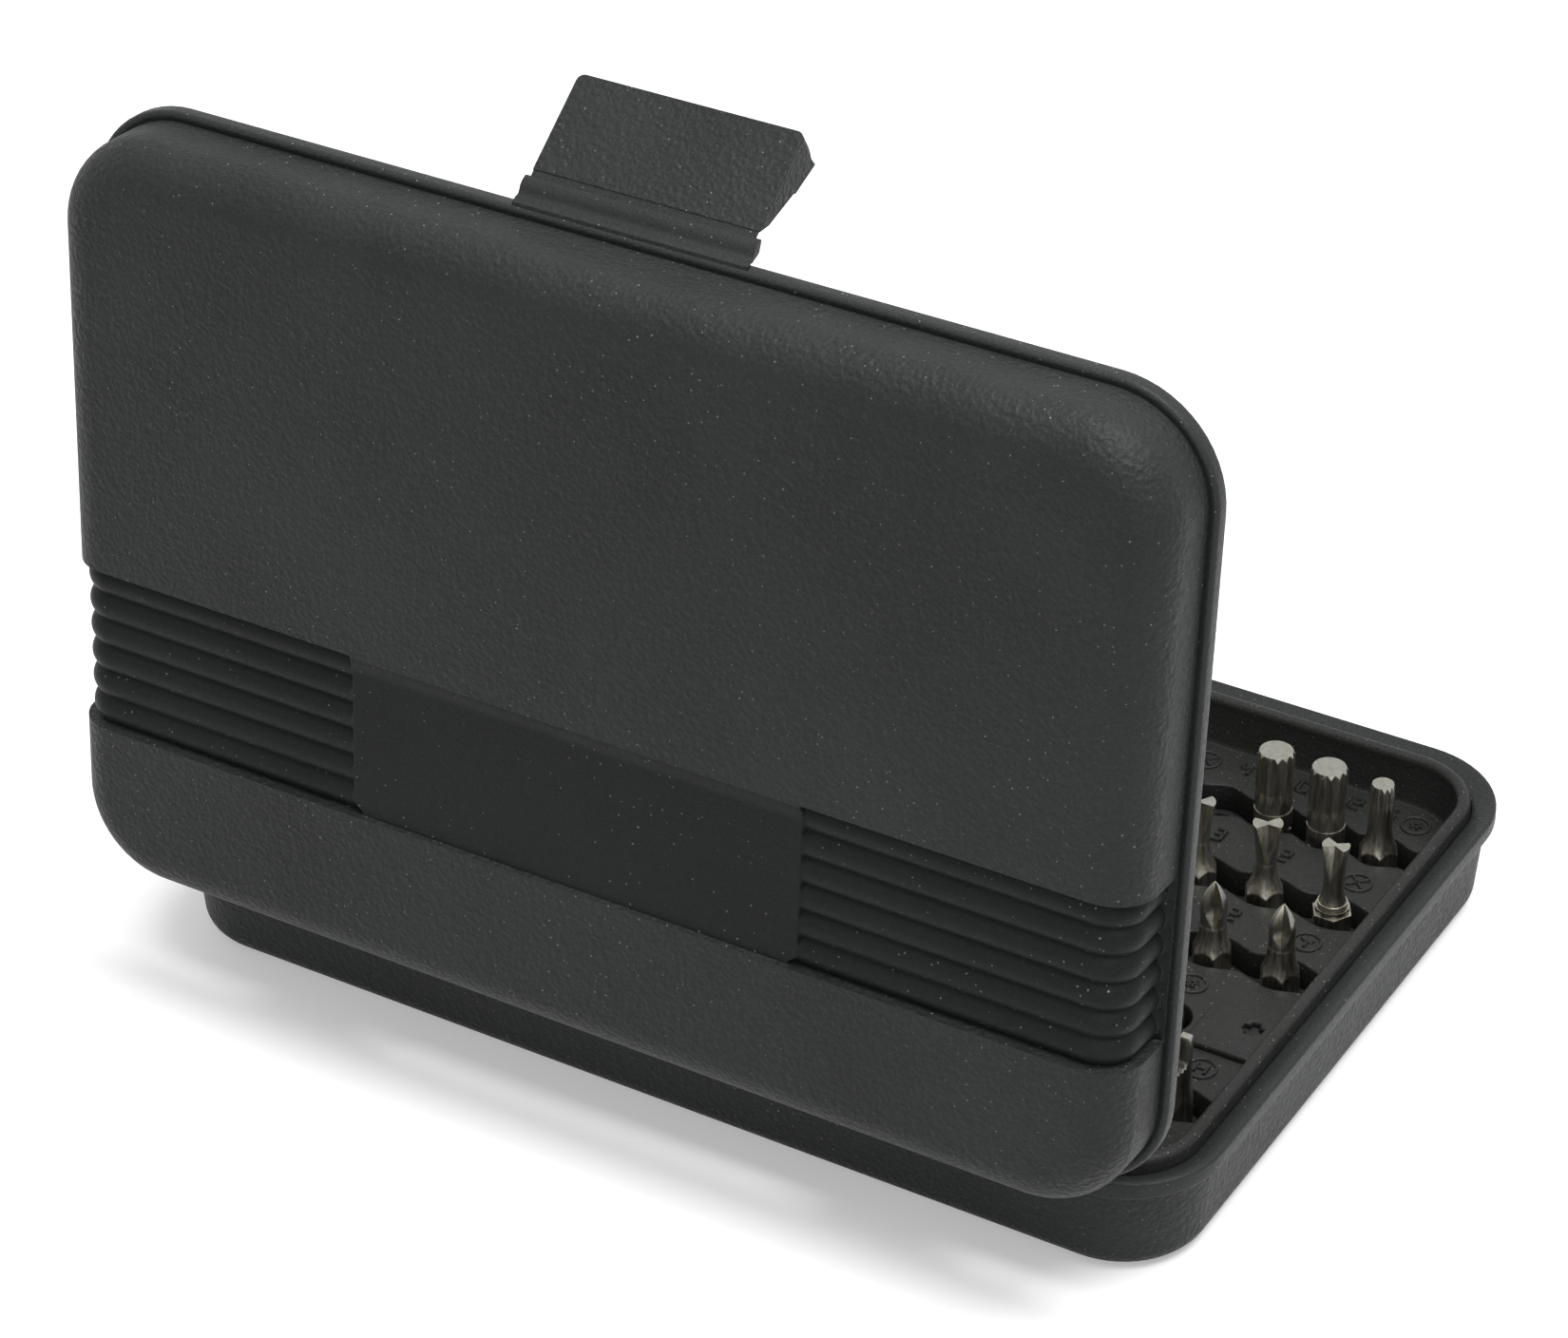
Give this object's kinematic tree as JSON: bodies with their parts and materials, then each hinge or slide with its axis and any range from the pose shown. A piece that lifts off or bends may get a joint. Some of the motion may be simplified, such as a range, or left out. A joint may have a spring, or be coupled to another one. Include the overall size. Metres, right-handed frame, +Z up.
{
  "type": "flip case of screwdriver bits",
  "caption": "Black plastic flip case standing open, ribbed hollow lid with a latch tab, tray of upright hex-shank security bits.",
  "frame": {"origin": "middle of the flat underside of the base", "axes": "X along the hinge, -Y to the latch side of the base, +Y to the hinge side, +Z up"},
  "size_m": [0.2, 0.1569, 0.1766],
  "materials": {
    "case_plastic": "pebble-grained black moulding",
    "tray_plastic": "fine satin black moulding",
    "bit_steel": "satin grey tool steel",
    "pin_steel": "drawn wire"
  },
  "bodies": {
    "base": {"base_shell": "case_plastic", "tray_insert": "tray_plastic", "hinge_pins": "pin_steel"},
    "lid": {"lid_shell": "case_plastic", "latch_web": "case_plastic"},
    "strip": {"latch_strip": "case_plastic", "latch_fold": "case_plastic"},
    "tab": {"latch_tab": "case_plastic"},
    "holder": {"holder_sleeve": "bit_steel", "holder_shank": "bit_steel", "holder_magnet": "pin_steel"},
    "adapter": {"adapter_body": "bit_steel", "adapter_ball": "pin_steel"},
    "bit_spline_small_body": {"bit_spline_small": "bit_steel"},
    "bit_spline_large_body": {"bit_spline_large": "bit_steel"},
    "bit_spline_medium_body": {"bit_spline_medium": "bit_steel"},
    "bits_spline_hidden_body": {"bits_spline_hidden": "bit_steel"},
    "bits_star_bored_body": {"bits_star_bored": "bit_steel"},
    "bits_star_bored_large_body": {"bits_star_bored_large": "bit_steel"},
    "bit_clutch_right_body": {"bit_clutch_right": "bit_steel"},
    "bit_clutch_middle_body": {"bit_clutch_middle": "bit_steel"},
    "bit_clutch_left_body": {"bit_clutch_left": "bit_steel"},
    "bits_square_body": {"bits_square": "bit_steel"},
    "bits_spanner_body": {"bits_spanner": "bit_steel"},
    "bit_three_wing_right_body": {"bit_three_wing_right": "bit_steel"},
    "bit_three_wing_left_body": {"bit_three_wing_left": "bit_steel"},
    "bits_three_wing_body": {"bits_three_wing": "bit_steel"},
    "bits_offset_cross_body": {"bits_offset_cross": "bit_steel"},
    "bits_cross_body": {"bits_cross": "bit_steel"},
    "bits_hex_bored_body": {"bits_hex_bored": "bit_steel"},
    "bits_hex_body": {"bits_hex": "bit_steel"},
    "bit_spanner_right_body": {"bit_spanner_right": "bit_steel"},
    "bits_star_body": {"bits_star": "bit_steel"},
    "bits_slotted_body": {"bits_slotted": "bit_steel"}
  },
  "joints": [
    {"name": "lid_hinge", "type": "hinge", "parent": "base", "child": "lid", "pos_m": [0, 0.07246, 0.02075], "axis": [-1, 0, 0], "range_deg": [-85.6, 0]},
    {"name": "strip_hinge", "type": "hinge", "parent": "lid", "child": "strip", "pos_m": [0, 0.06335, 0.16263], "axis": [1, 0, 0], "range_deg": [-38.7, 21.3], "stiffness_Nm_per_rad": 0.02, "deforming": ["latch_web"]},
    {"name": "tab_hinge", "type": "hinge", "parent": "strip", "child": "tab", "pos_m": [0, 0.05896, 0.16594], "axis": [-1, 0, 0], "range_deg": [-80, 30], "stiffness_Nm_per_rad": 0.02, "deforming": ["latch_fold"]},
    {"name": "holder_lift", "type": "slide", "parent": "base", "child": "holder", "axis": [0, 0, 1], "range_m": [0, 0.04]},
    {"name": "adapter_lift", "type": "slide", "parent": "base", "child": "adapter", "axis": [0, 0, 1], "range_m": [0, 0.04]},
    {"name": "bit_spline_small_lift", "type": "slide", "parent": "base", "child": "bit_spline_small_body", "axis": [0, 0, 1], "range_m": [0, 0.03]},
    {"name": "bit_spline_large_lift", "type": "slide", "parent": "base", "child": "bit_spline_large_body", "axis": [0, 0, 1], "range_m": [0, 0.03]},
    {"name": "bit_spline_medium_lift", "type": "slide", "parent": "base", "child": "bit_spline_medium_body", "axis": [0, 0, 1], "range_m": [0, 0.03]},
    {"name": "bits_spline_hidden_lift", "type": "slide", "parent": "base", "child": "bits_spline_hidden_body", "axis": [0, 0, 1], "range_m": [0, 0.03]},
    {"name": "bits_star_bored_lift", "type": "slide", "parent": "base", "child": "bits_star_bored_body", "axis": [0, 0, 1], "range_m": [0, 0.03]},
    {"name": "bits_star_bored_large_lift", "type": "slide", "parent": "base", "child": "bits_star_bored_large_body", "axis": [0, 0, 1], "range_m": [0, 0.03]},
    {"name": "bit_clutch_right_lift", "type": "slide", "parent": "base", "child": "bit_clutch_right_body", "axis": [0, 0, 1], "range_m": [0, 0.03]},
    {"name": "bit_clutch_middle_lift", "type": "slide", "parent": "base", "child": "bit_clutch_middle_body", "axis": [0, 0, 1], "range_m": [0, 0.03]},
    {"name": "bit_clutch_left_lift", "type": "slide", "parent": "base", "child": "bit_clutch_left_body", "axis": [0, 0, 1], "range_m": [0, 0.03]},
    {"name": "bits_square_lift", "type": "slide", "parent": "base", "child": "bits_square_body", "axis": [0, 0, 1], "range_m": [0, 0.03]},
    {"name": "bits_spanner_lift", "type": "slide", "parent": "base", "child": "bits_spanner_body", "axis": [0, 0, 1], "range_m": [0, 0.03]},
    {"name": "bit_three_wing_right_lift", "type": "slide", "parent": "base", "child": "bit_three_wing_right_body", "axis": [0, 0, 1], "range_m": [0, 0.03]},
    {"name": "bit_three_wing_left_lift", "type": "slide", "parent": "base", "child": "bit_three_wing_left_body", "axis": [0, 0, 1], "range_m": [0, 0.03]},
    {"name": "bits_three_wing_lift", "type": "slide", "parent": "base", "child": "bits_three_wing_body", "axis": [0, 0, 1], "range_m": [0, 0.03]},
    {"name": "bits_offset_cross_lift", "type": "slide", "parent": "base", "child": "bits_offset_cross_body", "axis": [0, 0, 1], "range_m": [0, 0.03]},
    {"name": "bits_cross_lift", "type": "slide", "parent": "base", "child": "bits_cross_body", "axis": [0, 0, 1], "range_m": [0, 0.03]},
    {"name": "bits_hex_bored_lift", "type": "slide", "parent": "base", "child": "bits_hex_bored_body", "axis": [0, 0, 1], "range_m": [0, 0.03]},
    {"name": "bits_hex_lift", "type": "slide", "parent": "base", "child": "bits_hex_body", "axis": [0, 0, 1], "range_m": [0, 0.03]},
    {"name": "bit_spanner_right_lift", "type": "slide", "parent": "base", "child": "bit_spanner_right_body", "axis": [0, 0, 1], "range_m": [0, 0.03]},
    {"name": "bits_star_lift", "type": "slide", "parent": "base", "child": "bits_star_body", "axis": [0, 0, 1], "range_m": [0, 0.03]},
    {"name": "bits_slotted_lift", "type": "slide", "parent": "base", "child": "bits_slotted_body", "axis": [0, 0, 1], "range_m": [0, 0.03]}
  ]
}
